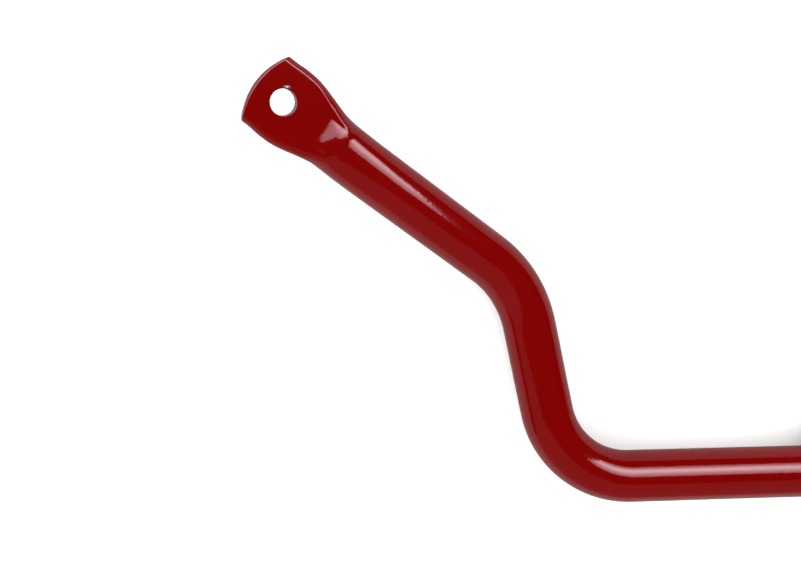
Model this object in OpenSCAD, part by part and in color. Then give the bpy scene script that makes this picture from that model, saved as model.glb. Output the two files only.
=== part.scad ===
/* [Tube] */
// Outside diameter of the bar's tube
tube_od = 31.75; // [30:0.05:32]
// Wall thickness of the tube
tube_wall = 4.775; // [3.5:0.005:6]

/* [Bends] */
// Middle of the bar to the corner of the centre bend
half_span = 395; // [360:1:450]
// Centre bend corner to elbow corner
inner_arm = 124; // [110:1:160]
// Elbow corner to the start of the flattened end
outer_arm = 126.5; // [100:0.1:180]
// Turn of the centre bend
centre_bend = 78; // [60:0.5:90]
// Centre line radius of the centre bend
centre_bend_r = 53.8; // [45:0.1:60]
// Turn of the elbow
elbow_bend = 43.8; // [30:0.1:50]
// Centre line radius of the elbow
elbow_bend_r = 66.8; // [50:0.1:75]
// How far the elbow's plane is turned up out of the plane of the centre bend
elbow_lift = 19.3; // [5:0.1:25]
// Fall of the inner arm below level where the bar is stored
arm_droop = 5; // [3:0.1:8]

/* [Eye] */
// Width of the flattened end
eye_w = 43; // [40:0.1:46]
// Thickness of the flattened end
eye_t = 9.5; // [8:0.1:12]
// Height of the flattened end's middle above the centre line of the arm
eye_rise = 9.7; // [0:0.1:11]
// Diameter of the end link hole
eye_hole_d = 14; // [10:0.1:16]
// Hole centre to the tip of the eye
eye_tip = 17.2; // [14:0.1:22]
// Radius of the eye's cut end
eye_end_r = 43; // [30:1:60]
// Hole centre to the start of the neck that swells to the tube
flat_length = 24; // [18:1:30]
// Hole centre to the full round tube
neck_length = 52; // [44:1:60]
// Sideways set of the eye against the outer arm
eye_cant = 2; // [0:0.1:4]

/* [Bushing mounts] */
// Middle of the bar to the middle of each bushing
mount_x = 200; // [150:1:300]
// Length of a bushing between its outer faces
bushing_length = 46; // [40:1:60]
// Outside radius of the bushing under the strap
bushing_r = 24; // [22:0.5:26]
// Height of the lips beside the strap
bushing_lip = 2.5; // [1.5:0.5:4]
// Gap between the bar and the bushing's bore
running_gap = 0.06; // [0.02:0.01:0.1]
// Width of the strap bracket
strap_w = 32; // [28:1:36]
// Thickness of the strap bracket
strap_t = 4; // [3:0.5:5]
// Half of a bracket's length over its feet
foot_reach = 53; // [50:1:60]
// Distance between the two bolt holes of a bracket
bolt_spacing = 80; // [76:1:90]
// Diameter of the bolt holes
bolt_hole_d = 11; // [9:0.5:12]
// Thickness of the base plate
plate_t = 3; // [2:0.5:4]

/* [Stop collars] */
// Outside radius of a collar
collar_r = 23.8; // [22.5:0.1:24]
// Width of a collar
collar_w = 12; // [10:1:14]
// Gap between a collar and its bushing
collar_gap = 1; // [0.5:0.5:2]
// Gap between the two halves of a collar
collar_split = 1.5; // [1:0.5:2.5]

/* [Grease fittings] */
// Width across the flats of the fitting's hexagon
fitting_hex = 8; // [7:0.5:9]
// Radius of the fitting's threaded shank
shank_r = 3; // [2.5:0.1:3.5]
// Radius of the fitting's bore
grease_bore_r = 1.4; // [1.3:0.05:1.5]
// Radius of the check ball
ball_r = 1.15; // [1:0.05:1.2]

/* [Hidden] */
$fn = 96;

LEFT = -1;
RIGHT = 1;
tiny = 0.01;
bend_thinning = 0.03;

// Straight lengths left between the bends
tube_r = tube_od / 2;
centre_corner = centre_bend_r * tan(centre_bend / 2);
elbow_corner = elbow_bend_r * tan(elbow_bend / 2);
centre_straight = half_span - centre_corner;
inner_straight = inner_arm - centre_corner - elbow_corner;
outer_straight = outer_arm - elbow_corner;

// The point of the elbow that hangs lowest, where the centre line runs level
low_turn = atan(tan(arm_droop) * sin(centre_bend) / sin(elbow_lift));
low_rise = elbow_bend_r * (1 - cos(low_turn)) * sin(elbow_lift);
low_y = centre_bend_r * (1 - cos(centre_bend))
    + inner_straight * sin(centre_bend)
    + elbow_bend_r * sin(low_turn) * sin(centre_bend)
    - elbow_bend_r * (1 - cos(low_turn)) * cos(elbow_lift) * cos(centre_bend);
// Height of the bar's axis at which both elbows just touch the ground
axis_h = tube_r + low_y * sin(arm_droop) - low_rise * cos(arm_droop);

// Turn about the arm that lays the eye's width level
eye_roll = -atan(cos(elbow_bend) * tan(elbow_lift));
shoulder_start = 4;
shoulder_end = 36;

bushing_drop = axis_h - plate_t;
crown_in_r = bushing_r + 0.1;
crown_out_r = crown_in_r + strap_t;
collar_x = mount_x - bushing_length / 2 - collar_gap - collar_w / 2;
collar_bore_r = tube_r + 0.03;
screw_offset = (tube_r + collar_r) / 2;

// Heights up a grease fitting, from the bar's axis
fitting_foot = crown_in_r - 2;
hex_low = crown_out_r;
hex_high = hex_low + 4;
fitting_top = hex_high + 7.5;
seat_z = fitting_top - 1.6;
ball_z = seat_z - ball_r - 0.2;
spring_low = fitting_foot + 1.2;
spring_high = ball_z - ball_r - 0.1;
spring_r = 1.0;
spring_wire_r = 0.15;

// ---- The bar ----

module tube_section(thinner = 0) {
    difference() {
        circle(r = tube_r - thinner);
        circle(r = tube_r - tube_wall + thinner);
    }
}

// A straight stretch, running up +Z from the origin
module straight_tube(length) {
    linear_extrude(length) tube_section();
}

module after_straight(length) {
    translate([0, 0, length]) children();
}

// A bend that leaves the origin up +Z and turns towards +X. Its wall is drawn a hair thinner and
// runs a little way inside the wall of the straights beside it, so that they join cleanly.
module bent_tube(radius, angle) {
    lap = 1 / radius * 180 / PI;
    translate([radius, 0, 0])
        rotate([90, 0, 180])
            rotate([0, 0, -lap])
                rotate_extrude(angle = angle + 2 * lap)
                    translate([radius, 0]) tube_section(bend_thinning);
}

module after_bend(radius, angle) {
    translate([radius, 0, 0])
        rotate([0, angle, 0])
            translate([-radius, 0, 0]) children();
}

function smooth(t) = let(u = min(1, max(0, t))) u * u * (3 - 2 * u);

// Triangles that wrap a row of rings of points into a closed tube
function wrap_rings(rings, per_ring) = concat(
    [for (i = [1:per_ring - 2]) [0, i, i + 1]],
    [for (k = [0:rings - 2], i = [0:per_ring - 1])
        let(a = k * per_ring, b = a + per_ring, j = (i + 1) % per_ring)
        each [[a + i, b + i, b + j], [a + i, b + j, a + j]]],
    [for (i = [1:per_ring - 2])
        let(a = (rings - 1) * per_ring)
        [a, a + i + 1, a + i]]
);

// Half width and half thickness of the forged end, s short of the hole centre
plug_r = tube_r - 0.15;
function half_width(s) = eye_w / 2
    + (plug_r - eye_w / 2) * smooth((s - shoulder_start) / (shoulder_end - shoulder_start));
function neck_share(s) = smooth((s - flat_length) / (neck_length - flat_length));
function half_thickness(s) = eye_t / 2 + (plug_r - eye_t / 2) * neck_share(s);
// Height of the forged end's middle, so that its top runs almost level into the top of the tube
flat_top = eye_rise + eye_t / 2;
function middle_height(s) = flat_top + (plug_r - flat_top) * neck_share(s) - half_thickness(s);

// One ring of the forged end: a flat bar with full round sides
side_steps = 18;
function end_ring(s) = let(h = half_thickness(s), w = half_width(s), up = middle_height(s))
    [for (side = [1, -1], i = [0:side_steps])
        let(a = -90 * side + 180 * side * i / side_steps)
        [side * ((w - h) + h * cos(a)), up + h * sin(a), neck_length - s]];

neck_rings = 18;
hollow_run = 16;
ring_places = concat(
    [neck_length + 1],
    [for (i = [0:neck_rings])
        neck_length + (shoulder_start - neck_length) * i / neck_rings],
    [-eye_tip - 2]
);

// Forged end from the round tube to past the tip, before it is cut to length
module forged_blank() {
    points = [for (s = ring_places) each end_ring(s)];
    polyhedron(points, wrap_rings(len(ring_places), 2 * (side_steps + 1)));
}

// Outline that the eye's end is cut to, seen square to the flat
module eye_outline() {
    translate([0, neck_length + eye_tip - eye_end_r]) circle(r = eye_end_r);
    translate([-eye_w, -5]) square([2 * eye_w, neck_length]);
}

module forged_end() {
    difference() {
        intersection() {
            forged_blank();
            rotate([90, 0, 0]) linear_extrude(4 * tube_r, center = true) eye_outline();
        }
        translate([0, 0, neck_length])
            rotate([90, 0, 0])
                cylinder(d = eye_hole_d, h = 4 * tube_r, center = true);
        // The tube's hollow runs out to a point where the walls close up
        translate([0, 0, -2])
            cylinder(r1 = tube_r - tube_wall - 1, r2 = 1, h = 2 + hollow_run);
    }
}

// Half of the bar, from its middle out to the eye at -X
module half_bar() {
    translate([0, 0, axis_h])
        rotate([-arm_droop, 0, 0])
            rotate([0, -90, 0])
                rotate([0, 0, 90]) {
                    straight_tube(centre_straight);
                    after_straight(centre_straight) {
                        bent_tube(centre_bend_r, centre_bend);
                        after_bend(centre_bend_r, centre_bend) inner_and_outer_arm();
                    }
                }
}

module inner_and_outer_arm() {
    straight_tube(inner_straight);
    after_straight(inner_straight)
        rotate([0, 0, 180 + elbow_lift]) {
            bent_tube(elbow_bend_r, elbow_bend);
            after_bend(elbow_bend_r, elbow_bend) {
                straight_tube(outer_straight);
                after_straight(outer_straight)
                    rotate([0, -eye_cant, 0])
                        rotate([0, 0, eye_roll])
                            forged_end();
            }
        }
}

module bar_left() {
    color([0.52, 0.01, 0.01]) half_bar();
}

module bar_right() {
    color([0.52, 0.01, 0.01]) mirror([1, 0, 0]) half_bar();
}

// ---- Bushing mounts ----

// Puts a profile drawn in Y and Z at a mount, centred on its length along X
module across(x, length) {
    translate([x, 0, axis_h])
        rotate([90, 0, 90])
            linear_extrude(length, center = true) children();
}

// Round over the bar and square down to a flat at the given depth
module d_profile(r, drop) {
    difference() {
        union() {
            circle(r = r);
            translate([-r, -drop]) square([2 * r, drop]);
        }
        translate([-2 * r, -drop - 2 * r]) square([4 * r, 2 * r]);
    }
}

module bolt_holes(side) {
    for (y = [-1, 1] * bolt_spacing / 2)
        translate([side * mount_x, y, -1])
            cylinder(d = bolt_hole_d, h = plate_t + strap_t + 2);
}

// Strap and plate outline seen from above, with rounded corners
module foot_plan(side) {
    corner = 6;
    translate([side * mount_x, 0]) {
        square([strap_w - 2 * corner, 2 * foot_reach], center = true);
        square([strap_w, 2 * (foot_reach - corner)], center = true);
        for (x = [-1, 1], y = [-1, 1])
            translate([x * (strap_w / 2 - corner), y * (foot_reach - corner)]) circle(r = corner);
    }
}

module base_plate(side) {
    color([0.62, 0.63, 0.64])
        difference() {
            linear_extrude(plate_t) foot_plan(side);
            bolt_holes(side);
        }
}

module bushing(side) {
    lip_w = (bushing_length - strap_w) / 2 - 0.3;
    color([0.05, 0.05, 0.055])
        difference() {
            union() {
                across(side * mount_x, bushing_length) d_profile(bushing_r, bushing_drop);
                for (end = [-1, 1])
                    across(side * mount_x + end * (bushing_length - lip_w) / 2, lip_w)
                        d_profile(bushing_r + bushing_lip, bushing_drop);
            }
            across(side * mount_x, bushing_length + 2) circle(r = tube_r + running_gap);
            // Grease channel round the middle of the bore, and the hole that feeds it
            across(side * mount_x, 4) circle(r = tube_r + 1.2);
            translate([side * mount_x, 0, axis_h + tube_r])
                cylinder(r = shank_r + 0.1, h = bushing_r);
            // Slit through which the bushing is opened over the bar
            translate([side * mount_x - bushing_length, -tube_r - bushing_r, axis_h - 0.4])
                cube([2 * bushing_length, bushing_r + 1, 0.8]);
        }
}

module strap_profile() {
    bend_r = 5;
    foot_top = -bushing_drop + strap_t;
    difference() {
        union() {
            d_profile(crown_out_r, bushing_drop);
            translate([-foot_reach, -bushing_drop]) square([2 * foot_reach, strap_t]);
            translate([-crown_out_r - bend_r, -bushing_drop])
                square([2 * (crown_out_r + bend_r), strap_t + bend_r]);
        }
        d_profile(crown_in_r, bushing_drop + 1);
        for (end = [-1, 1])
            translate([end * (crown_out_r + bend_r), foot_top + bend_r]) circle(r = bend_r);
    }
}

module bracket(side) {
    color([0.70, 0.70, 0.71])
        difference() {
            intersection() {
                across(side * mount_x, strap_w) strap_profile();
                linear_extrude(4 * bushing_r) foot_plan(side);
            }
            bolt_holes(side);
            translate([side * mount_x, 0, axis_h])
                cylinder(r = shank_r + 0.02, h = crown_out_r + 2);
        }
}

// ---- Grease fittings ----

module at_fitting(side) {
    translate([side * mount_x, 0, axis_h]) children();
}

// Turned outline of the fitting above its hexagon, with a groove for the grease gun's jaws
module fitting_head() {
    rotate_extrude()
        polygon([
            [0, hex_high - tiny],
            [2.9, hex_high - tiny],
            [2.3, hex_high + 1.6],
            [2.3, hex_high + 3.4],
            [3.25, hex_high + 4.6],
            [3.25, hex_high + 5.6],
            [1.9, fitting_top],
            [0, fitting_top]
        ]);
}

module grease_fitting(side) {
    color([0.72, 0.70, 0.62])
        at_fitting(side)
            difference() {
                union() {
                    translate([0, 0, fitting_foot]) cylinder(r = shank_r, h = hex_low - fitting_foot + 1);
                    translate([0, 0, hex_low])
                        cylinder(r = fitting_hex / 2 / cos(30), h = hex_high - hex_low, $fn = 6);
                    fitting_head();
                }
                // Bore for the spring and ball, a conical seat above and a lip below
                translate([0, 0, spring_low])
                    cylinder(r = grease_bore_r, h = seat_z - spring_low - 0.5);
                translate([0, 0, seat_z - 0.5 - tiny])
                    cylinder(r1 = grease_bore_r, r2 = 0.8, h = 0.5 + tiny);
                translate([0, 0, seat_z - tiny]) cylinder(r = 0.8, h = 3);
                translate([0, 0, fitting_foot - 1]) cylinder(r = 0.8, h = 3);
            }
}

module check_ball(side) {
    color([0.80, 0.80, 0.82])
        at_fitting(side) translate([0, 0, ball_z]) sphere(r = ball_r);
}

// Fine wire coil under the ball
spring_turns = 6;
turn_steps = 12;
wire_sides = 6;
module check_spring(side) {
    steps = spring_turns * turn_steps;
    low = spring_low + spring_wire_r + tiny;
    rise = spring_high - spring_wire_r - low;
    points = [for (k = [0:steps], i = [0:wire_sides - 1])
        let(a = 360 * k / turn_steps, b = 360 * i / wire_sides,
            r = spring_r + spring_wire_r * cos(b))
        [r * cos(a), r * sin(a), low + rise * k / steps + spring_wire_r * sin(b)]];
    color([0.6, 0.6, 0.62]) at_fitting(side) polyhedron(points, wrap_rings(steps + 1, wire_sides));
}

// ---- Stop collars ----

screw_r = 2;
head_r = 3.5;
head_seat = 6;
head_h = 4;
screw_end = -10.5;

// Half of a collar, on the side of the split that end names, with its two screw holes
module collar_half(side, end) {
    color([0.09, 0.09, 0.10])
        difference() {
            across(side * collar_x, collar_w)
                difference() {
                    circle(r = collar_r);
                    circle(r = collar_bore_r);
                    translate([end > 0 ? -2 * collar_r : -collar_split / 2, -collar_r - 1])
                        square([2 * collar_r + collar_split / 2, 2 * collar_r + 2]);
                }
            collar_screw_places(side) {
                translate([0, 0, screw_end - 0.5])
                    cylinder(r = screw_r + 0.05, h = head_seat - screw_end + 1);
                translate([0, 0, head_seat]) cylinder(r = head_r + 0.2, h = 2 * collar_r);
            }
        }
}

// The two screws lie above and below the bar and run front to back
module collar_screw_places(side) {
    for (z = [-1, 1] * screw_offset)
        translate([side * collar_x, 0, axis_h + z])
            rotate([-90, 0, 0]) children();
}

module collar_screws(side) {
    color([0.14, 0.14, 0.15])
        collar_screw_places(side)
            difference() {
                union() {
                    translate([0, 0, screw_end]) cylinder(r = screw_r, h = head_seat - screw_end);
                    translate([0, 0, head_seat]) cylinder(r = head_r, h = head_h);
                }
                translate([0, 0, head_seat + head_h - 2]) cylinder(d = 3.4, h = 3, $fn = 6);
            }
}

bar_left();
bar_right();
base_plate(LEFT);  // left_base_plate
base_plate(RIGHT);  // right_base_plate
bushing(LEFT);  // left_bushing
bushing(RIGHT);  // right_bushing
bracket(LEFT);  // left_bracket
bracket(RIGHT);  // right_bracket
grease_fitting(LEFT);  // left_grease_fitting
grease_fitting(RIGHT);  // right_grease_fitting
check_ball(LEFT);  // left_check_ball
check_ball(RIGHT);  // right_check_ball
check_spring(LEFT);  // left_check_spring
check_spring(RIGHT);  // right_check_spring
collar_half(LEFT, 1);  // left_collar_front
collar_half(RIGHT, 1);  // right_collar_front
collar_half(LEFT, -1);  // left_collar_rear
collar_half(RIGHT, -1);  // right_collar_rear
collar_screws(LEFT);  // left_collar_screws
collar_screws(RIGHT);  // right_collar_screws
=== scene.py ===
import math

import bpy
from mathutils import Matrix, Vector


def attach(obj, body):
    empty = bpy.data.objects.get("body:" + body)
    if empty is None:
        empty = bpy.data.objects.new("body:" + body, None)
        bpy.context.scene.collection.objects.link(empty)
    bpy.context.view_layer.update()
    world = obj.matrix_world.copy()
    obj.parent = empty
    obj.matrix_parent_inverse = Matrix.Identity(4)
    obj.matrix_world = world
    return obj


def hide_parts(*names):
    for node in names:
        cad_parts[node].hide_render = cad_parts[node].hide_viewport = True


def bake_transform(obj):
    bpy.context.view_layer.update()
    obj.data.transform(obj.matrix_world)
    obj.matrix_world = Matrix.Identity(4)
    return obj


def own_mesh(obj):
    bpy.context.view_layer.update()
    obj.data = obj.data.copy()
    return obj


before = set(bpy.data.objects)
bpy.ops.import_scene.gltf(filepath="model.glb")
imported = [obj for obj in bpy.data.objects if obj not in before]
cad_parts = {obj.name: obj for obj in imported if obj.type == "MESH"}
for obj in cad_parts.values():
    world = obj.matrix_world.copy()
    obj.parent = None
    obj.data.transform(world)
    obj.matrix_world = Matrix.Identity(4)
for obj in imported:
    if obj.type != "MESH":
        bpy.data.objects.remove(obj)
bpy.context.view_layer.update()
mm = 0.001

# ---------------------------------------------------------------------------------------------
# Camera. It hangs almost straight above the left arm and looks down on it, with the arm running
# up the view and the straight centre section leaving at the right.
camera_data = bpy.data.cameras.new("camera")
camera_data.sensor_width = 36
camera_data.lens = 40.45
camera = bpy.data.objects.new("camera", camera_data)
bpy.context.scene.collection.objects.link(camera)
bpy.context.scene.camera = camera

camera_place = Vector((-532.9, 218.3, 541.5)) * mm
camera_look = Vector((0.0733, -0.1834, -0.9803)).normalized()
camera_up = Vector((0.0128, 0.9830, -0.1830))
camera_right = camera_look.cross(camera_up).normalized()
camera_up = camera_right.cross(camera_look)
turn = Matrix((camera_right, camera_up, -camera_look)).transposed()
camera.matrix_world = Matrix.Translation(camera_place) @ turn.to_4x4()
bpy.context.scene.view_settings.view_transform = "Standard"


# ---------------------------------------------------------------------------------------------
# Studio. A pale floor under an even white sky that reflections don't see, one large softbox high
# on the far side, and a dim grey ceiling and wall behind the camera. Only reflections see the
# softbox, the ceiling and the wall.
class Wire:
    """A node socket that adds Math nodes to its tree when it is used in an expression."""

    def __init__(self, tree, socket):
        self.tree = tree
        self.socket = socket

    def node(self, kind, settings=None, **values):
        """Adds a node, sets its properties, then gives its inputs numbers or wires."""
        made = self.tree.nodes.new("ShaderNode" + kind)
        for name, value in (settings or {}).items():
            setattr(made, name, value)
        for name, value in values.items():
            key = int(name[1:]) if name[1:].isdigit() else name.replace("_", " ")
            self.feed(made.inputs[key], value)
        return made

    def feed(self, socket, value):
        """Links a wire to a socket, or sets the socket's own value."""
        if isinstance(value, Wire):
            self.tree.links.new(value.socket, socket)
        else:
            socket.default_value = value

    def out(self, kind, settings=None, pick=0, **values):
        """Adds a node and wraps one of its outputs."""
        return Wire(self.tree, self.node(kind, settings, **values).outputs[pick])

    def math(self, operation, *terms):
        inputs = {f"i{index}": term for index, term in enumerate(terms)}
        return self.out("Math", {"operation": operation}, **inputs)

    def __add__(self, other):
        return self.math("ADD", self, other)

    def __sub__(self, other):
        return self.math("SUBTRACT", self, other)

    def __rsub__(self, other):
        return self.math("SUBTRACT", other, self)

    def __mul__(self, other):
        return self.math("MULTIPLY", self, other)

    def __truediv__(self, other):
        return self.math("DIVIDE", self, other)

    def __gt__(self, other):
        return self.math("GREATER_THAN", self, other)

    def __lt__(self, other):
        return self.math("LESS_THAN", self, other)

    def __abs__(self):
        return self.math("ABSOLUTE", self)

    def root(self):
        return self.math("SQRT", self)

    __radd__ = __add__
    __rmul__ = __mul__

    def smooth(self, low, high):
        """0 below low and 1 above high, with a soft step between."""
        settings = {"interpolation_type": "SMOOTHSTEP"}
        return self.out("MapRange", settings, Value=self, From_Min=low, From_Max=high)

    def minus(self, point):
        return self.out("VectorMath", {"operation": "SUBTRACT"}, i0=self, i1=point)

    def dot(self, direction):
        return self.out("VectorMath", {"operation": "DOT_PRODUCT"}, pick="Value", i0=self, i1=direction)

    def length(self):
        return self.out("VectorMath", {"operation": "LENGTH"}, pick="Value", i0=self)

    def noise(self, size, detail=2.0):
        """Noise whose lumps are about size across."""
        return self.out("TexNoise", Vector=self, Scale=1 / size, Detail=detail)

    def between(self, low, high):
        """The colour that goes from low to high as this value goes from 0 to 1."""
        return self.out("Mix", {"data_type": "RGBA"}, pick=2, i0=self, i6=low, i7=high)

    def bump(self, distance, strength=1.0):
        """The normal of a surface with this value as its height."""
        return self.out("Bump", Height=self, Distance=distance, Strength=strength)

    def into(self, shader, name):
        self.tree.links.new(self.socket, shader.inputs[name])


def new_material(name, **uniform):
    """A Principled material with its uniform values set, its shader node and its object coordinates."""
    material = bpy.data.materials.new(name)
    material.use_nodes = True
    tree = material.node_tree
    shader = tree.nodes["Principled BSDF"]
    for socket, value in uniform.items():
        shader.inputs[socket.replace("_", " ")].default_value = value
    coordinates = tree.nodes.new("ShaderNodeTexCoord")
    return material, shader, Wire(tree, coordinates.outputs["Object"])


def stage_card(name, corners, bright_at_middle, bright, middle, spread):
    """A glowing sheet that only reflections see, brightest near its middle."""
    mesh = bpy.data.meshes.new(name)
    mesh.from_pydata([Vector(corner) for corner in corners], [], [range(len(corners))])
    card = bpy.data.objects.new(name, mesh)
    bpy.context.scene.collection.objects.link(card)
    material = bpy.data.materials.new(name)
    material.use_nodes = True
    tree = material.node_tree
    tree.nodes.clear()
    place = Wire(tree, tree.nodes.new("ShaderNodeTexCoord").outputs["Object"])
    away = place.minus(middle).out("VectorMath", {"operation": "DIVIDE"}, i0=place.minus(middle), i1=spread)
    fall = place.math("POWER", 2.718, away.length() * away.length() * -1.0)
    glow = place.node("Emission", Strength=fall * (bright_at_middle - bright) + bright)
    output = tree.nodes.new("ShaderNodeOutputMaterial")
    tree.links.new(glow.outputs[0], output.inputs["Surface"])
    mesh.materials.append(material)
    card.visible_camera = False
    card.visible_diffuse = False
    card.visible_shadow = False


softbox_h = 1.0
softbox_corners = [
    (-1.90, 0.29, softbox_h), (0.40, 0.29, softbox_h), (1.32, 1.30, softbox_h),
    (1.30, 1.62, softbox_h), (-1.90, 1.62, softbox_h),
]
stage_card("softbox", softbox_corners, 12.0, 2.6, (0.10, 0.83, softbox_h), (1.50, 0.34, 1.0))
wall_corners = [(-4, -0.32, 1.0), (3, -0.32, 1.0), (3, -3, 1.0), (-4, -3, 1.0)]
stage_card("grey_ceiling", wall_corners, 0.2, 0.2, (0, 0, 1), (1, 1, 1))
back_corners = [(-4, -3, 0.02), (-4, -3, 1.0), (3, -3, 1.0), (3, -3, 0.02)]
stage_card("grey_wall", back_corners, 0.2, 0.2, (0, 0, 1), (1, 1, 1))

bpy.ops.mesh.primitive_plane_add(size=40)
floor = bpy.context.object
floor.name = "floor"
floor_material, floor_shader, floor_place = new_material("floor", Roughness=0.9, Specular_IOR_Level=0.0)
# Painted reflection: the floor's colour is darkened to grey where reflections see it, while the camera sees
# it pale
reflected = floor_place.out("LightPath", pick="Is Glossy Ray")
floor_grain = floor_place.noise(0.004, 3)
floor_white = floor_grain.between((0.93, 0.93, 0.93, 1), (0.95, 0.95, 0.95, 1))
reflected.between(floor_white, (0.26, 0.26, 0.26, 1)).into(floor_shader, "Base Color")
floor.data.materials.append(floor_material)

sky = bpy.data.worlds.new("sky")
bpy.context.scene.world = sky
sky.use_nodes = True
sky.node_tree.nodes["Background"].inputs["Color"].default_value = (1, 1, 1, 1)
sky.node_tree.nodes["Background"].inputs["Strength"].default_value = 2.0
sky.cycles_visibility.glossy = False


# ---------------------------------------------------------------------------------------------
# The bar. One length of spring steel tube, bent twice on each side, with its ends forged flat
# and pierced for the end links, then coated all over in gloss red powder. Its arms hang a
# little below level, as it lies when it rests on its brackets and elbows.
tube_r = 31.75 / 2 * mm
centre_straight = 351.434 * mm
inner_straight = 53.580 * mm
outer_straight = 99.647 * mm
centre_bend, centre_bend_r = math.radians(78), 53.8 * mm
elbow_bend, elbow_bend_r = math.radians(43.8), 66.8 * mm
elbow_lift = math.radians(19.3)
arm_droop = math.radians(5)
eye_cant = math.radians(2)
neck_length = 52 * mm
eye_tip = 17.2 * mm
eye_end_r = 43 * mm
eye_w = 43 * mm
eye_t = 9.5 * mm
eye_rise = 9.7 * mm
eye_hole_r = 7 * mm
axis_h = 24.8457 * mm
ring_points = 192
ring_step = 2 * math.pi / ring_points


def start_edit(thing, select="DESELECT", kind="VERT"):
    """Makes thing the one active object and opens it in edit mode."""
    bpy.ops.object.select_all(action="DESELECT")
    thing.select_set(True)
    bpy.context.view_layer.objects.active = thing
    bpy.ops.object.mode_set(mode="EDIT")
    bpy.ops.mesh.select_mode(type=kind)
    bpy.ops.mesh.select_all(action=select)


def push(step):
    """Extrudes the selected ring by a step."""
    bpy.ops.mesh.extrude_region_move(TRANSFORM_OT_translate={"value": tuple(step)})


def apply_modifier(thing, kind, **settings):
    bpy.ops.object.select_all(action="DESELECT")
    thing.select_set(True)
    bpy.context.view_layer.objects.active = thing
    modifier = thing.modifiers.new(kind.lower(), kind)
    for name, value in settings.items():
        setattr(modifier, name, value)
    bpy.ops.object.modifier_apply(modifier=modifier.name)


bpy.ops.object.select_all(action="DESELECT")
bpy.ops.mesh.primitive_circle_add(
    vertices=ring_points, radius=tube_r, location=(0, 0, axis_h), rotation=(0, math.pi / 2, 0)
)
bar = bpy.context.object
bar.name = "sway_bar"
bpy.ops.object.transform_apply(location=True, rotation=True)
start_edit(bar, "SELECT")

# Straight centre section, in short lengths where it twists in use
place = Vector((0, 0, axis_h))
travel = Vector((-1, 0, 0))
side = Vector((0, math.cos(arm_droop), -math.sin(arm_droop)))
twist_reach = 150 * mm
twist_steps = 10
for step in range(twist_steps):
    push(travel * twist_reach / twist_steps)
push(travel * (centre_straight - twist_reach))
place += travel * centre_straight


def bend_tube(place, travel, side, radius, angle, steps):
    """Spins the open ring round a bend towards side, and returns where it leaves the bend."""
    centre = place + side * radius
    axis = travel.cross(side)
    # The operator turns left-handed about its axis
    bpy.ops.mesh.spin(steps=steps, angle=-angle, center=tuple(centre), axis=tuple(axis))
    turned = Matrix.Rotation(angle, 3, axis)
    return centre + turned @ (place - centre), turned @ travel, turned @ side


place, travel, side = bend_tube(place, travel, side, centre_bend_r, centre_bend, 40)
push(travel * inner_straight)
place += travel * inner_straight
side = -(side * math.cos(elbow_lift) + travel.cross(side) * math.sin(elbow_lift))
place, travel, side = bend_tube(place, travel, side, elbow_bend_r, elbow_bend, 26)

# The rings of the forged end start a little before the full round tube ends
lead_in = 34 * mm
cant_in = 10 * mm
push(travel * (outer_straight - lead_in))
place += travel * outer_straight
end_edge_r = 1.2 * mm
forge_length = lead_in + neck_length + eye_tip - end_edge_r
forge_rings = 140
for ring in range(forge_rings):
    push(travel * forge_length / forge_rings)
edge_rings = 6
for ring in range(edge_rings):
    push(travel * end_edge_r / edge_rings)
bpy.ops.object.mode_set(mode="OBJECT")


def soft_step(value, low, high):
    share = min(1, max(0, (value - low) / (high - low)))
    return share * share * (3 - 2 * share)


def soft_min(a, b, fillet):
    """The smaller of two heights, with a fillet where they meet."""
    share = max(0, fillet - abs(a - b)) / fillet
    return min(a, b) - share * share * fillet / 4


# The flats' width is laid level: the section is turned about the arm by this much
section_turn = -math.atan(math.cos(elbow_bend) * math.tan(elbow_lift))
side_up = travel.cross(side)
eye_travel = travel * math.cos(eye_cant) - side * math.sin(eye_cant)
eye_side = side * math.cos(eye_cant) + travel * math.sin(eye_cant)


# Stations along the neck, from the eye's centre toward the arm, and the sizes shaped there
narrows_from, narrows_to = 4 * mm, 36 * mm
tip_taper, tip_taper_length = 0.55 * mm, 13 * mm
ramp_from, ramp_to = 23.5 * mm, 34 * mm
ramp_half_width = 8.8 * mm
settles_from, settles_to = 22 * mm, 44 * mm
keel_depth = 9.4 * mm


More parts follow.
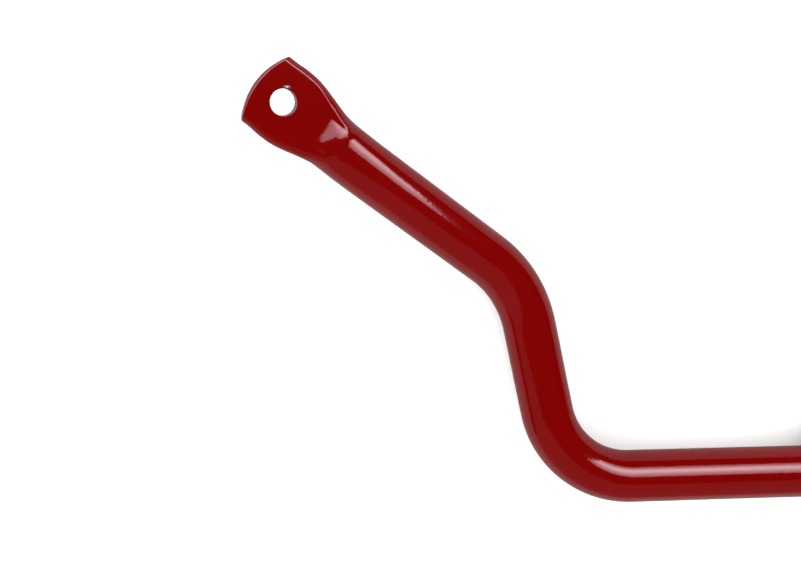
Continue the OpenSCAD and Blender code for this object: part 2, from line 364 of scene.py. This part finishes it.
def forged_place(along, angle):
    """Where the hammered tube's skin lies, along the arm from the neck's start and round it."""
    edge = max(0, along - (neck_length + eye_tip - end_edge_r))
    s = neck_length - (along - edge)
    width = eye_w / 2 + (tube_r - eye_w / 2) * soft_step(s, narrows_from, narrows_to)
    width -= tip_taper * soft_step(-s, 0, tip_taper_length)
    across = width * math.cos(angle)
    # The flat's top climbs a low ramp into the tube's, so its middle stands above the arm's
    middle_up = eye_rise * (1 - soft_step(s, settles_from, settles_to))
    flat_top = eye_rise + eye_t / 2
    ramp_end = ramp_to - 80 * across * across
    ramp_rise = (tube_r - flat_top) * (1 - min(1, abs(across) / ramp_half_width) ** 2)
    if s > 33 * mm:
        ramp_rise += (tube_r - flat_top - ramp_rise) * soft_step(s, 33 * mm, 40 * mm)
    ramp = flat_top + ramp_rise * soft_step(s, ramp_from, ramp_end) + 0.15 * max(0, s - 40 * mm)
    bulge = (3.3 - 2.0 * soft_step(s, 7 * mm, 24 * mm) - 1.3 * soft_step(s, 34 * mm, 41 * mm)) * mm
    fillet = (0.45 + 0.35 * soft_step(s, 20 * mm, 28 * mm) + 0.65 * soft_step(s, 33 * mm, 38 * mm)) * mm
    # Shoulders a little squarer than a circle's fade out along the arm
    square = 2 + 0.24 * (1 - soft_step(s, 38 * mm, 84 * mm)) * soft_step(s, 20 * mm, 34 * mm)
    arch = (1 - abs(math.cos(angle)) ** square) ** (1 / square)
    if math.sin(angle) >= 0:
        crown = tube_r + bulge - middle_up
        up = soft_min(crown * arch, ramp - middle_up, fillet)
    else:
        run = max(0, s - 26.5 * mm)
        keel = keel_depth + (tube_r - keel_depth) * soft_step(s, 24 * mm, 44 * mm)
        up = -soft_min(keel * arch, eye_t / 2 + 76 * run * run, fillet)
    # The end is cut to an arc and its edge rounded over
    arc = eye_end_r - math.sqrt(eye_end_r**2 - across**2)
    advance = along - arc * soft_step(-s, -6 * mm, eye_tip - end_edge_r) - edge
    if edge > 0:
        roll = math.asin(min(1, edge / end_edge_r))
        inset = end_edge_r * (1 - math.cos(roll))
        across *= 1 - inset / width
        up *= 1 - inset / (eye_t / 2)
        advance += edge
    # The eye stands a little sideways of the arm's line
    lean = min(1, max(0, (along + cant_in) / (2 * cant_in)))
    swing = advance if advance > cant_in else max(0, advance + cant_in) ** 2 / (4 * cant_in)
    here_side = side.lerp(eye_side, lean).normalized()
    level = here_side * math.cos(section_turn) + side_up * math.sin(section_turn)
    normal = side_up * math.cos(section_turn) - here_side * math.sin(section_turn)
    middle = place + travel * advance + (eye_travel - travel) * swing
    return middle + level * across + normal * (up + middle_up)


for vertex in bar.data.vertices:
    along = (vertex.co - place).dot(travel)
    if (vertex.co - place).length < 3 * neck_length and along > -lead_in - 0.01 * mm:
        offset = vertex.co - place
        angle = math.atan2(offset.dot(side_up), offset.dot(side)) - section_turn
        angle = round(angle / ring_step) * ring_step
        vertex.co = forged_place(along, angle)

eye_level = eye_side * math.cos(section_turn) + side_up * math.sin(section_turn)
eye_normal = side_up * math.cos(section_turn) - eye_side * math.sin(section_turn)
eye_place = place + eye_travel * neck_length + eye_normal * eye_rise

# The cut end is closed by bringing its rim's upper and lower edges together along the middle
start_edit(bar)
bpy.ops.object.mode_set(mode="OBJECT")
for vertex in bar.data.vertices[-ring_points:]:
    vertex.select = True
bpy.ops.object.mode_set(mode="EDIT")
push((0, 0, 0))
bpy.ops.object.mode_set(mode="OBJECT")
for vertex in bar.data.vertices[-ring_points:]:
    vertex.co -= eye_normal * (vertex.co - eye_place).dot(eye_normal)
start_edit(bar, "SELECT")
bpy.ops.mesh.remove_doubles(threshold=0.02 * mm)
bpy.ops.mesh.normals_make_consistent(inside=False)
bpy.ops.object.mode_set(mode="OBJECT")


def turned(name, profile, points=96, closed=True):
    """A solid turned about Z from an outline of radii and heights, closed on itself or capped."""
    bpy.ops.object.select_all(action="DESELECT")
    radius, height = profile[-1] if closed else profile[0]
    bpy.ops.mesh.primitive_circle_add(vertices=points, radius=radius)
    solid = bpy.context.object
    solid.name = name
    start_edit(solid, "SELECT")
    bpy.ops.transform.translate(value=(0, 0, height))
    for next_radius, next_height in profile if closed else profile[1:]:
        push((0, 0, next_height - height))
        growth = next_radius / radius
        bpy.ops.transform.resize(value=(growth, growth, 1), center_override=(0, 0, next_height))
        radius, height = next_radius, next_height
    bpy.ops.mesh.select_all(action="SELECT")
    if closed:
        bpy.ops.mesh.remove_doubles(threshold=0.001 * mm)
    else:
        bpy.ops.mesh.fill_holes(sides=0)
    bpy.ops.mesh.normals_make_consistent(inside=False)
    bpy.ops.object.mode_set(mode="OBJECT")
    return solid


# The piercing, its rims rolled over a little by the punch and the coat
rim_r = 0.45 * mm
rim_turns = [math.radians(90 - 12.5 * step) for step in range(7)]
rim = [
    (eye_hole_r + rim_r * (1 - math.sin(turn)), eye_t / 2 - rim_r * (1 - math.cos(turn)))
    for turn in rim_turns
]
drill_outline = [(radius, -height) for radius, height in reversed(rim)] + rim
drill_top = (eye_hole_r + 4 * rim_r, eye_t)
drill = turned("drill", [(drill_top[0], -eye_t)] + drill_outline + [drill_top], closed=False)
across_eye = Matrix((eye_level, eye_normal.cross(eye_level), eye_normal)).transposed().to_4x4()
drill.data.transform(Matrix.Translation(eye_place) @ across_eye)
apply_modifier(bar, "BOOLEAN", object=drill, operation="DIFFERENCE", solver="EXACT")
bpy.data.objects.remove(drill)

# The right end is the mirror image of the left
apply_modifier(bar, "MIRROR", use_axis=(True, False, False), use_mirror_merge=True, merge_threshold=0.01 * mm)
start_edit(bar, "SELECT")
bpy.ops.mesh.normals_make_consistent(inside=False)
bpy.ops.object.mode_set(mode="OBJECT")
bpy.ops.object.shade_smooth_by_angle(angle=math.radians(35))

coat, coat_shader, bar_place = new_material(
    "gloss_red_powder", Specular_Tint=(1.0, 0.74, 0.80, 1), IOR=1.5
)
# Both bores are left bare: distance from the eye's axis, the right one folded onto the left
fold = bar_place.node("SeparateXYZ", Vector=bar_place).outputs
here_x, here_y, here_z = (Wire(bar_place.tree, part) for part in fold)
folded = bar_place.out("CombineXYZ", X=abs(here_x) * -1.0, Y=here_y, Z=here_z)
from_eye = folded.minus(eye_place)
off_level = from_eye.dot(eye_level)
off_travel = from_eye.dot(eye_travel)
from_axis = (off_level * off_level + off_travel * off_travel).root()
bare = (from_axis < eye_hole_r + 0.12 * mm) * (from_axis > eye_hole_r - 0.5 * mm)
cloud = bar_place.noise(0.03, 3)
red = cloud.between((0.108, 0.0002, 0.0001, 1), (0.126, 0.0003, 0.0002, 1))
# A sliver of the coat is chipped off beside the left bore, down to dark scale and bare steel
chip_along, chip_across = off_travel - 3.3 * mm, off_level + 7.4 * mm
chip_slant = chip_along * 0.80 + chip_across * 0.60
chip_side = chip_across * 0.80 - chip_along * 0.60
chip_edge = (bar_place.noise(0.8 * mm, 2) - 0.5) * (1.6 * mm)
chip_run = chip_slant * 0.42
chip_far = (chip_run * chip_run + chip_side * chip_side).root() + chip_edge
left_only = here_x < 0
scale_mask = (chip_far < 0.95 * mm) * left_only
metal_mask = (chip_far < 0.45 * mm) * left_only
scaled = scale_mask.between(red, (0.02, 0.015, 0.013, 1))
steel_mask = bare.math("MAXIMUM", bare, metal_mask)
steel_mask.between(scaled, (0.42, 0.41, 0.39, 1)).into(coat_shader, "Base Color")
steel_mask.into(coat_shader, "Metallic")
(steel_mask * 0.3 + scale_mask * 0.3 + cloud * 0.04 + 0.06).into(coat_shader, "Roughness")
# Orange peel, and a few grains of dust caught under the coat
peel = bar_place.noise(1.9 * mm, 1.5)
nib_cell = bar_place.out("TexVoronoi", pick="Distance", Vector=bar_place, Scale=1 / (9 * mm))
nib = 1 - nib_cell.smooth(0.0, 0.035)
(peel * 0.055 + nib * 0.03).bump(1 * mm, 0.6).into(coat_shader, "Normal")
bar.data.materials.append(coat)
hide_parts("bar_left", "bar_right")
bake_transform(bar)


# ---------------------------------------------------------------------------------------------
# Base plates. Each mount stands on a plate stamped from 3 mm steel strip, with rounded corners
# and two punched bolt holes, zinc plated like the bracket above it.
mount_x = 200 * mm
strap_w = 32 * mm
foot_reach = 53 * mm
foot_corner_r = 6 * mm
plate_t = 3 * mm
bolt_y = 40 * mm
bolt_hole_r = 5.5 * mm


def add_block(name, low, high):
    """A block between two corners, with its place in its mesh."""
    bpy.ops.object.select_all(action="DESELECT")
    bpy.ops.mesh.primitive_cube_add(size=1)
    block = bpy.context.object
    block.name = name
    low, high = Vector(low), Vector(high)
    block.data.transform(Matrix.Translation((low + high) / 2) @ Matrix.Diagonal(high - low).to_4x4())
    return block


def add_pin(radius, low, high, points=64):
    """A round pin between two points, used as a cutter."""
    low, high = Vector(low), Vector(high)
    bpy.ops.object.select_all(action="DESELECT")
    bpy.ops.mesh.primitive_cylinder_add(vertices=points, radius=radius, depth=(high - low).length)
    pin = bpy.context.object
    aim = (high - low).to_track_quat("Z", "Y").to_matrix().to_4x4()
    pin.data.transform(Matrix.Translation((low + high) / 2) @ aim)
    return pin


def cut(thing, cutter, operation="DIFFERENCE"):
    """Cuts thing with another solid, which is then thrown away."""
    apply_modifier(thing, "BOOLEAN", object=cutter, operation=operation, solver="EXACT")
    bpy.data.objects.remove(cutter)


def round_edges(thing, width, segments=3):
    """Rounds every sharp edge and shades the rest smooth."""
    apply_modifier(
        thing, "BEVEL", width=width, segments=segments, limit_method="ANGLE", angle_limit=math.radians(40)
    )
    bpy.ops.object.shade_smooth_by_angle(angle=math.radians(40))


def finish_pair(left, body, material, step=2 * mount_x):
    """Copies a left-hand piece to the right, gives both their finish and body, and hides their CAD nodes."""
    left.data.materials.clear()
    left.data.materials.append(material)
    right = left.copy()
    right.data = left.data.copy()
    right.data.transform(Matrix.Translation((step, 0, 0)))
    right.name = left.name.replace("left", "right")
    bpy.context.scene.collection.objects.link(right)
    for piece in (left, right):
        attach(piece, body.replace("left", piece.name.split("_")[0]))
        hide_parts(piece.name.replace("_shown", ""))


def foot_block(name, low_z, high_z):
    """A block with the rounded outline that the plate and the bracket's feet share."""
    low = (-mount_x - strap_w / 2, -foot_reach, low_z)
    high = (-mount_x + strap_w / 2, foot_reach, high_z)
    block = add_block(name, low, high)
    start_edit(block, kind="EDGE")
    bpy.ops.object.mode_set(mode="OBJECT")
    for edge in block.data.edges:
        low_end, high_end = (block.data.vertices[index].co for index in edge.vertices)
        edge.select = abs(high_end.z - low_end.z) > 0.1 * mm
    bpy.ops.object.mode_set(mode="EDIT")
    bpy.ops.mesh.bevel(offset=foot_corner_r, segments=10)
    bpy.ops.object.mode_set(mode="OBJECT")
    return block


def punch_bolt_holes(thing):
    for y in (-bolt_y, bolt_y):
        cut(thing, add_pin(bolt_hole_r, (-mount_x, y, -plate_t), (-mount_x, y, 4 * plate_t)))


plate = foot_block("left_base_plate_shown", 0, plate_t)
punch_bolt_holes(plate)
round_edges(plate, 0.35 * mm)

zinc, zinc_shader, zinc_place = new_material("bright_zinc", Metallic=1.0)
zinc_cloud = zinc_place.noise(8 * mm, 4)
zinc_grain = zinc_place.noise(0.35 * mm, 2)
zinc_cloud.between((0.50, 0.53, 0.58, 1), (0.68, 0.66, 0.60, 1)).into(zinc_shader, "Base Color")
(zinc_cloud * 0.22 + zinc_grain * 0.08 + 0.20).into(zinc_shader, "Roughness")
(zinc_grain * 0.03 + zinc_place.noise(2.5 * mm, 2) * 0.10).bump(1 * mm, 0.5).into(zinc_shader, "Normal")
finish_pair(plate, "chassis_mounts", zinc)


# ---------------------------------------------------------------------------------------------
# Bushings. Each is a D-shaped block moulded in black polyurethane with a lip at either end that
# keeps the strap in place, a greased bore and a slit at the back to open it over the bar.
bushing_length = 46 * mm
bushing_r = 24 * mm
lip_r = 26.5 * mm
lip_w = 6.7 * mm
bore_r = tube_r + 0.06 * mm
groove_r = tube_r + 1.2 * mm


def d_block(name, radius, low_x, high_x, points=96):
    """A block that is round over the bar and square down to the plate."""
    bpy.ops.object.select_all(action="DESELECT")
    bpy.ops.mesh.primitive_circle_add(vertices=points, radius=radius, rotation=(0, math.pi / 2, 0))
    block = bpy.context.object
    block.name = name
    bpy.ops.object.transform_apply(rotation=True)
    block.data.transform(Matrix.Translation((low_x, 0, axis_h)))
    start_edit(block, "SELECT")
    bpy.ops.mesh.bisect(plane_co=(0, 0, axis_h), plane_no=(0, 0, 1), clear_inner=True)
    # The two ends of the arch run straight down to the plate
    bpy.ops.object.mode_set(mode="OBJECT")
    for vertex in block.data.vertices:
        vertex.select = abs(vertex.co.z - axis_h) < 0.001 * mm
    bpy.ops.object.mode_set(mode="EDIT")
    push((0, 0, plate_t - axis_h))
    bpy.ops.mesh.select_all(action="SELECT")
    bpy.ops.mesh.edge_face_add()
    push((high_x - low_x, 0, 0))
    bpy.ops.mesh.select_all(action="SELECT")
    bpy.ops.mesh.fill_holes(sides=0)
    bpy.ops.mesh.normals_make_consistent(inside=False)
    bpy.ops.object.mode_set(mode="OBJECT")
    return block


bushing_low = -mount_x - bushing_length / 2
bushing_high = -mount_x + bushing_length / 2
bushing = d_block("left_bushing_shown", bushing_r, bushing_low, bushing_high)
cut(bushing, d_block("lip", lip_r, bushing_low, bushing_low + lip_w), "UNION")
cut(bushing, d_block("lip", lip_r, bushing_high - lip_w, bushing_high), "UNION")
round_edges(bushing, 0.8 * mm)
cut(bushing, add_pin(bore_r, (bushing_low - mm, 0, axis_h), (bushing_high + mm, 0, axis_h), 128))
cut(bushing, add_pin(groove_r, (-mount_x - 2 * mm, 0, axis_h), (-mount_x + 2 * mm, 0, axis_h), 128))
cut(bushing, add_pin(3.1 * mm, (-mount_x, 0, axis_h + 12 * mm), (-mount_x, 0, axis_h + 30 * mm)))
slit_low = (bushing_low - mm, -2 * bushing_r, axis_h - 0.4 * mm)
slit_high = (bushing_high + mm, -0.9 * bore_r, axis_h + 0.4 * mm)
cut(bushing, add_block("slit", slit_low, slit_high))
start_edit(bushing, "SELECT")
bpy.ops.mesh.remove_doubles(threshold=0.001 * mm)
bpy.ops.mesh.fill_holes(sides=0)
bpy.ops.object.mode_set(mode="OBJECT")
bpy.ops.object.shade_smooth_by_angle(angle=math.radians(35))

rubber, rubber_shader, rubber_place = new_material("moulded_polyurethane", IOR=1.5)
rubber_cloud = rubber_place.noise(6 * mm, 4)
rubber_grain = rubber_place.noise(0.5 * mm, 3)
rubber_cloud.between((0.006, 0.006, 0.007, 1), (0.014, 0.014, 0.015, 1)).into(rubber_shader, "Base Color")
(rubber_cloud * 0.20 + rubber_grain * 0.10 + 0.36).into(rubber_shader, "Roughness")
(rubber_grain * 0.06 + rubber_cloud * 0.1).bump(1 * mm, 0.5).into(rubber_shader, "Normal")
finish_pair(bushing, "chassis_mounts", rubber)


# ---------------------------------------------------------------------------------------------
# Strap brackets. A 4 mm steel strap is pressed over the bushing between its lips, its feet turned
# out on a small radius and punched for the bolts, its crown drilled for the grease fitting.
strap_t = 4 * mm
crown_r = 28.1 * mm
fillet_r = 5 * mm
trim = 2 * mm

bpy.ops.object.select_all(action="DESELECT")
bpy.ops.mesh.primitive_plane_add(size=strap_w + 2 * trim)
bracket = bpy.context.object
bracket.name = "left_bracket_shown"
start_edit(bracket)
bpy.ops.object.mode_set(mode="OBJECT")
for vertex in bracket.data.vertices:
    vertex.select = vertex.co.y > 0
bpy.ops.object.mode_set(mode="EDIT")
bpy.ops.mesh.delete(type="VERT")
bpy.ops.object.mode_set(mode="OBJECT")
foot_top = plate_t + strap_t
for vertex in bracket.data.vertices:
    vertex.co += Vector((-mount_x, strap_w / 2 + trim - foot_reach - trim, foot_top))
start_edit(bracket, "SELECT")
foot_run = foot_reach + trim - crown_r - fillet_r
wall_run = axis_h - foot_top - fillet_r
place_on = Vector((-mount_x, -foot_reach - trim, foot_top))
push((0, foot_run, 0))
place_on.y += foot_run
up, along_y = Vector((0, 0, 1)), Vector((0, 1, 0))
place_on, travel_on, side_on = bend_tube(place_on, along_y, up, fillet_r, math.pi / 2, 10)
push(up * wall_run)
place_on += up * wall_run
place_on, travel_on, side_on = bend_tube(place_on, up, along_y, crown_r, math.pi, 64)
push(-up * wall_run)
place_on -= up * wall_run
place_on, travel_on, side_on = bend_tube(place_on, -up, along_y, fillet_r, math.pi / 2, 10)
push((0, foot_run, 0))
bpy.ops.mesh.select_all(action="SELECT")
bpy.ops.mesh.remove_doubles(threshold=0.002 * mm)
bpy.ops.mesh.normals_make_consistent(inside=False)
bpy.ops.object.mode_set(mode="OBJECT")
top_face = max(bracket.data.polygons, key=lambda face: face.center.z)
inward = -1 if top_face.normal.z > 0 else 1
apply_modifier(bracket, "SOLIDIFY", thickness=strap_t, offset=inward)
cut(bracket, foot_block("outline", 0, 3 * crown_r), "INTERSECT")
punch_bolt_holes(bracket)
cut(bracket, add_pin(3.02 * mm, (-mount_x, 0, axis_h), (-mount_x, 0, axis_h + 2 * crown_r)))
round_edges(bracket, 0.5 * mm)
finish_pair(bracket, "chassis_mounts", zinc)


# ---------------------------------------------------------------------------------------------
# Grease fittings.
def in_mm(*pairs):
    return [(radius * mm, height * mm) for radius, height in pairs]


nipple_outline = in_mm(
    (2.6, 22.1), (3.0, 22.5), (3.0, 27.4), (2.5, 27.8), (2.5, 28.3), (2.9, 28.6), (2.9, 32.1), (2.3, 33.7),
    (2.3, 35.5), (3.0, 36.45), (3.25, 36.75), (3.25, 37.65), (3.1, 38.0), (2.1, 39.4), (1.8, 39.59),
    (1.0, 39.59), (0.8, 39.4), (0.8, 38.0), (1.4, 37.5), (1.4, 23.3), (0.8, 23.3), (0.8, 22.1),
)
fitting = turned("left_grease_fitting_shown", nipple_outline)
hex_corner = 4 / math.cos(math.pi / 6)
hexagon = turned("hexagon", in_mm((hex_corner, 28.1), (hex_corner, 32.1)), points=6, closed=False)
chamfer = in_mm((3.6, 27.8), (4.7, 28.43), (4.7, 31.77), (3.6, 32.4))
cut(hexagon, turned("chamfer", chamfer, closed=False), "INTERSECT")
cut(hexagon, add_pin(2 * mm, (0, 0, 20 * mm), (0, 0, 40 * mm)))
cut(fitting, hexagon, "UNION")
fitting.data.transform(Matrix.Translation((-mount_x, 0, axis_h)))
round_edges(fitting, 0.08 * mm, 2)

nickel, nickel_shader, nickel_place = new_material("pale_nickel", Metallic=1.0)
nickel_cloud = nickel_place.noise(3 * mm, 3)
nickel_cloud.between((0.62, 0.58, 0.47, 1), (0.74, 0.72, 0.64, 1)).into(nickel_shader, "Base Color")
(nickel_cloud * 0.16 + 0.16).into(nickel_shader, "Roughness")
nickel_place.noise(0.3 * mm, 2).bump(0.04 * mm, 0.4).into(nickel_shader, "Normal")
finish_pair(fitting, "chassis_mounts", nickel)


# ---------------------------------------------------------------------------------------------
# Check balls and springs. A hardened steel ball closes each fitting's mouth, pushed up by a fine
# coil of spring wire whose ends are closed and which shortens as grease is pumped in.
steel, steel_shader, steel_place = new_material("polished_steel", Metallic=1.0)
steel_cloud = steel_place.noise(0.8 * mm, 3)
steel_cloud.between((0.60, 0.60, 0.61, 1), (0.70, 0.70, 0.71, 1)).into(steel_shader, "Base Color")
(steel_cloud * 0.10 + 0.08).into(steel_shader, "Roughness")
for side_name in ("left", "right"):
    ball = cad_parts[side_name + "_check_ball"]
    ball.data.materials.clear()
    ball.data.materials.append(steel)

spring_low = 23.3 * mm
spring_high = 35.4 * mm
wire_r = 0.15 * mm
coil_r = 1.0 * mm
coil_turns = 6
bpy.ops.object.select_all(action="DESELECT")
bpy.ops.mesh.primitive_circle_add(vertices=10, radius=wire_r, rotation=(math.pi / 2, 0, 0))
spring = bpy.context.object
spring.name = "left_check_spring_shown"
bpy.ops.object.transform_apply(rotation=True)
spring.data.transform(Matrix.Translation((coil_r, 0, spring_low + 1.2 * wire_r)))
coil_rise = (spring_high - spring_low - 2.4 * wire_r) / coil_turns
apply_modifier(
    spring, "SCREW", axis="Z", angle=2 * math.pi, screw_offset=coil_rise, iterations=coil_turns,
    steps=28, render_steps=28, use_merge_vertices=False
)
start_edit(spring, "SELECT")
bpy.ops.mesh.remove_doubles(threshold=0.001 * mm)
bpy.ops.mesh.fill_holes(sides=0)
bpy.ops.mesh.normals_make_consistent(inside=False)
bpy.ops.object.mode_set(mode="OBJECT")
bpy.ops.object.shade_smooth_by_angle(angle=math.radians(40))
spring.data.transform(Matrix.Translation((-mount_x, 0, axis_h)))
finish_pair(spring, "chassis_mounts", steel)
for side_name, side_x in (("left", -mount_x), ("right", mount_x)):
    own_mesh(bpy.data.objects[side_name + "_check_spring_shown"])


# ---------------------------------------------------------------------------------------------
# Stop collars. Each is a turned steel ring, blackened, chamfered and sawn into a front and a rear
# half, and clamped to the bar beside its bushing so that the bar can't creep sideways.
collar_x = 170 * mm
collar_r = 23.8 * mm
collar_bore_r = tube_r + 0.03 * mm
collar_half_w = 6 * mm
collar_half_gap = 0.75 * mm
screw_z = 19.84 * mm
head_seat = 6 * mm
outer_chamfer = 0.9 * mm
inner_chamfer = 0.35 * mm

collar_outline = [
    (collar_bore_r + inner_chamfer, -collar_half_w), (collar_r - outer_chamfer, -collar_half_w),
    (collar_r, -collar_half_w + outer_chamfer), (collar_r, collar_half_w - outer_chamfer),
    (collar_r - outer_chamfer, collar_half_w), (collar_bore_r + inner_chamfer, collar_half_w),
    (collar_bore_r, collar_half_w - inner_chamfer), (collar_bore_r, -collar_half_w + inner_chamfer),
]

black, black_shader, black_place = new_material("blackened_steel", Metallic=1.0)
black_cloud = black_place.noise(5 * mm, 4)
black_grain = black_place.noise(0.4 * mm, 2)
black_cloud.between((0.035, 0.035, 0.038, 1), (0.065, 0.063, 0.062, 1)).into(black_shader, "Base Color")
(black_cloud * 0.20 + black_grain * 0.08 + 0.26).into(black_shader, "Roughness")
(black_grain * 0.04 + black_cloud * 0.06).bump(1 * mm, 0.5).into(black_shader, "Normal")

for half, end in (("front", 1), ("rear", -1)):
    collar = turned("left_collar_" + half + "_shown", collar_outline, points=128)
    collar.data.transform(Matrix.Rotation(math.pi / 2, 4, "Y"))
    start_edit(collar, "SELECT")
    bpy.ops.mesh.bisect(
        plane_co=(0, end * collar_half_gap, 0), plane_no=(0, end, 0), clear_inner=True, use_fill=True
    )
    bpy.ops.mesh.select_all(action="SELECT")
    bpy.ops.mesh.normals_make_consistent(inside=False)
    bpy.ops.object.mode_set(mode="OBJECT")
    round_edges(collar, 0.15 * mm, 2)
    for z in (-screw_z, screw_z):
        cut(collar, add_pin(2.05 * mm, (0, -11 * mm, z), (0, head_seat + mm, z), 48))
        if end > 0:
            cut(collar, add_pin(3.7 * mm, (0, head_seat, z), (0, 2 * collar_r, z), 48))
    collar.data.transform(Matrix.Translation((-collar_x, 0, axis_h)))
    bpy.ops.object.shade_smooth_by_angle(angle=math.radians(35))
    finish_pair(collar, "left_bar", black, 2 * collar_x)


# ---------------------------------------------------------------------------------------------
# Collar screws. Two socket head cap screws draw the halves of each collar together, blackened
# like the collars.
screw_outline = in_mm(
    (1.6, -10.5), (2.0, -10.1), (2.0, 5.6), (2.25, 6.0), (3.3, 6.0), (3.5, 6.2),
    (3.5, 9.5), (3.35, 9.85), (3.0, 10.0),
)
screw = turned("left_collar_screws_shown", screw_outline, points=48, closed=False)
socket_corner = 1.7 * mm
socket = turned("socket", [(socket_corner, 8 * mm), (socket_corner, 12 * mm)], points=6, closed=False)
cut(screw, socket)
round_edges(screw, 0.06 * mm, 2)
screw.data.transform(Matrix.Translation((-collar_x, 0, axis_h)) @ Matrix.Rotation(-math.pi / 2, 4, "X"))
lower_screw = screw.copy()
lower_screw.data = screw.data.copy()
bpy.context.scene.collection.objects.link(lower_screw)
screw.data.transform(Matrix.Translation((0, 0, screw_z)))
lower_screw.data.transform(Matrix.Translation((0, 0, -screw_z)))
bpy.ops.object.select_all(action="DESELECT")
lower_screw.select_set(True)
screw.select_set(True)
bpy.context.view_layer.objects.active = screw
bpy.ops.object.join()

screw_black, screw_shader, screw_place = new_material("blackened_screw_steel", Metallic=1.0)
screw_cloud = screw_place.noise(1.2 * mm, 3)
screw_cloud.between((0.04, 0.04, 0.044, 1), (0.10, 0.10, 0.105, 1)).into(screw_shader, "Base Color")
(screw_cloud * 0.22 + 0.22).into(screw_shader, "Roughness")
screw_place.noise(0.25 * mm, 2).bump(0.03 * mm, 0.5).into(screw_shader, "Normal")
finish_pair(screw, "left_bar", screw_black, 2 * collar_x)
